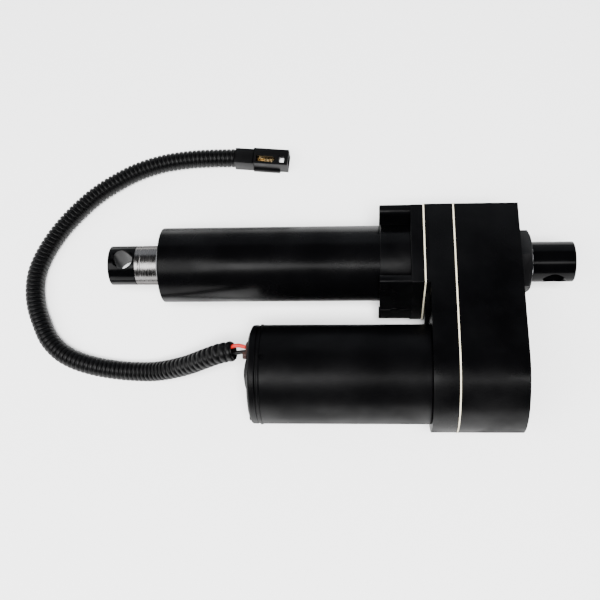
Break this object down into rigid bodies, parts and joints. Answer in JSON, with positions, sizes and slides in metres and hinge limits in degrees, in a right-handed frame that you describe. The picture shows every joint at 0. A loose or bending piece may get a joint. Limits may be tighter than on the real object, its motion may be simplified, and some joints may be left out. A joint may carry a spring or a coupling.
{
  "type": "linear actuator",
  "caption": "Electric linear actuator: a rod slides out of a round cover tube, driven through a pear-shaped gear housing by a DC motor beside the tube, with a cable and connector.",
  "frame": {"origin": "centre of the rear mounting rod's cross hole, on the screw axis", "axes": "+X along the screw axis, the way the rod extends; +Y from the screw axis towards the motor axis, along the rear cross hole; +Z normal to the plane of both axes, along the front cross hole"},
  "size_m": [0.3633, 0.2086, 0.0712],
  "materials": {
    "black_cast": "satin black coat on cast aluminium",
    "black_tube": "semi-gloss black coat on steel tube",
    "black_motor": "satin black coat on drawn steel",
    "black_rod": "gloss black coat on turned steel",
    "nut_black": "black zinc, matte",
    "steel": "ground steel",
    "bright_steel": "polished steel",
    "gear_steel": "sintered steel, oiled",
    "bronze": "oiled bronze",
    "brass": "stamped brass",
    "copper": "enamelled copper wire",
    "magnet": "sintered ferrite",
    "carbon": "pressed carbon",
    "phenolic": "phenolic board",
    "acetal": "natural acetal",
    "gasket": "cream fibre gasket",
    "seal": "grey nitrile",
    "grommet": "brown rubber",
    "red_wire": "red wire insulation",
    "black_wire": "black wire insulation",
    "conduit": "black corrugated nylon",
    "connector": "black moulded nylon"
  },
  "bodies": {
    "housing": {"rear_mount": "black_rod", "rear_washer": "bright_steel", "rear_lock_nut": "nut_black", "rear_cover": "black_cast", "cover_gasket": "gasket", "cover_screws": "nut_black", "gear_case": "black_cast", "flange_gasket": "gasket", "front_flange": "black_cast", "flange_screws": "nut_black", "cover_tube": "black_tube", "front_bushing": "bronze", "rod_wiper": "seal", "bearing_outer_rings": "steel", "idler_pin": "steel", "motor_can": "black_motor", "motor_end_cap": "black_motor", "motor_front_plate": "gear_steel", "motor_mount_screws": "nut_black", "motor_through_bolts": "nut_black", "motor_bushings": "bronze", "motor_magnets": "magnet", "brush_holder": "phenolic", "motor_brushes": "carbon", "brush_springs": "steel", "wire_grommet": "grommet", "red_lead": "red_wire", "black_lead": "black_wire", "wire_conduit": "conduit", "connector_housing": "connector", "connector_terminals": "brass", "connector_seal": "seal"},
    "screw": {"lead_screw": "steel", "screw_gear": "gear_steel", "gear_key": "steel", "screw_spacers": "steel", "bearing_inner_rings": "steel"},
    "ball_cages": {"bearing_balls": "bright_steel", "bearing_cages": "brass"},
    "idler": {"idler_bush": "bronze", "idler_wheel": "gear_steel", "idler_pinion": "gear_steel"},
    "rotor": {"motor_shaft": "steel", "motor_pinion": "gear_steel", "armature_core": "gear_steel", "armature_windings": "copper", "commutator": "copper"},
    "nut": {"drive_nut": "bronze", "nut_guide_ring": "acetal"},
    "rod": {"extension_tube": "steel", "rod_end": "black_rod"}
  },
  "joints": [
    {"name": "rod_extension", "type": "slide", "parent": "housing", "child": "nut", "axis": [1, 0, 0], "range_m": [0, 0.1016]},
    {"name": "rod_turn", "type": "hinge", "parent": "nut", "child": "rod", "pos_m": [0.2656, 0, 0], "axis": [1, 0, 0], "continuous": true},
    {"name": "screw_spin", "type": "hinge", "parent": "housing", "child": "screw", "pos_m": [0.05, 0, 0], "axis": [1, 0, 0], "continuous": true},
    {"name": "bearing_spin", "type": "hinge", "parent": "housing", "child": "ball_cages", "pos_m": [0.038, 0, 0], "axis": [1, 0, 0], "continuous": true},
    {"name": "idler_spin", "type": "hinge", "parent": "housing", "child": "idler", "pos_m": [0.05, 0.03938, 0], "axis": [1, 0, 0], "continuous": true},
    {"name": "motor_spin", "type": "hinge", "parent": "housing", "child": "rotor", "pos_m": [0.12, 0.07312, 0], "axis": [1, 0, 0], "continuous": true}
  ],
  "couplings": [
    {"joint": "screw_spin", "follows": "rod_extension", "rad_per_m": 1236.8},
    {"joint": "bearing_spin", "follows": "rod_extension", "rad_per_m": 470},
    {"joint": "idler_spin", "follows": "rod_extension", "rad_per_m": -1649.1},
    {"joint": "motor_spin", "follows": "rod_extension", "rad_per_m": 5772}
  ]
}
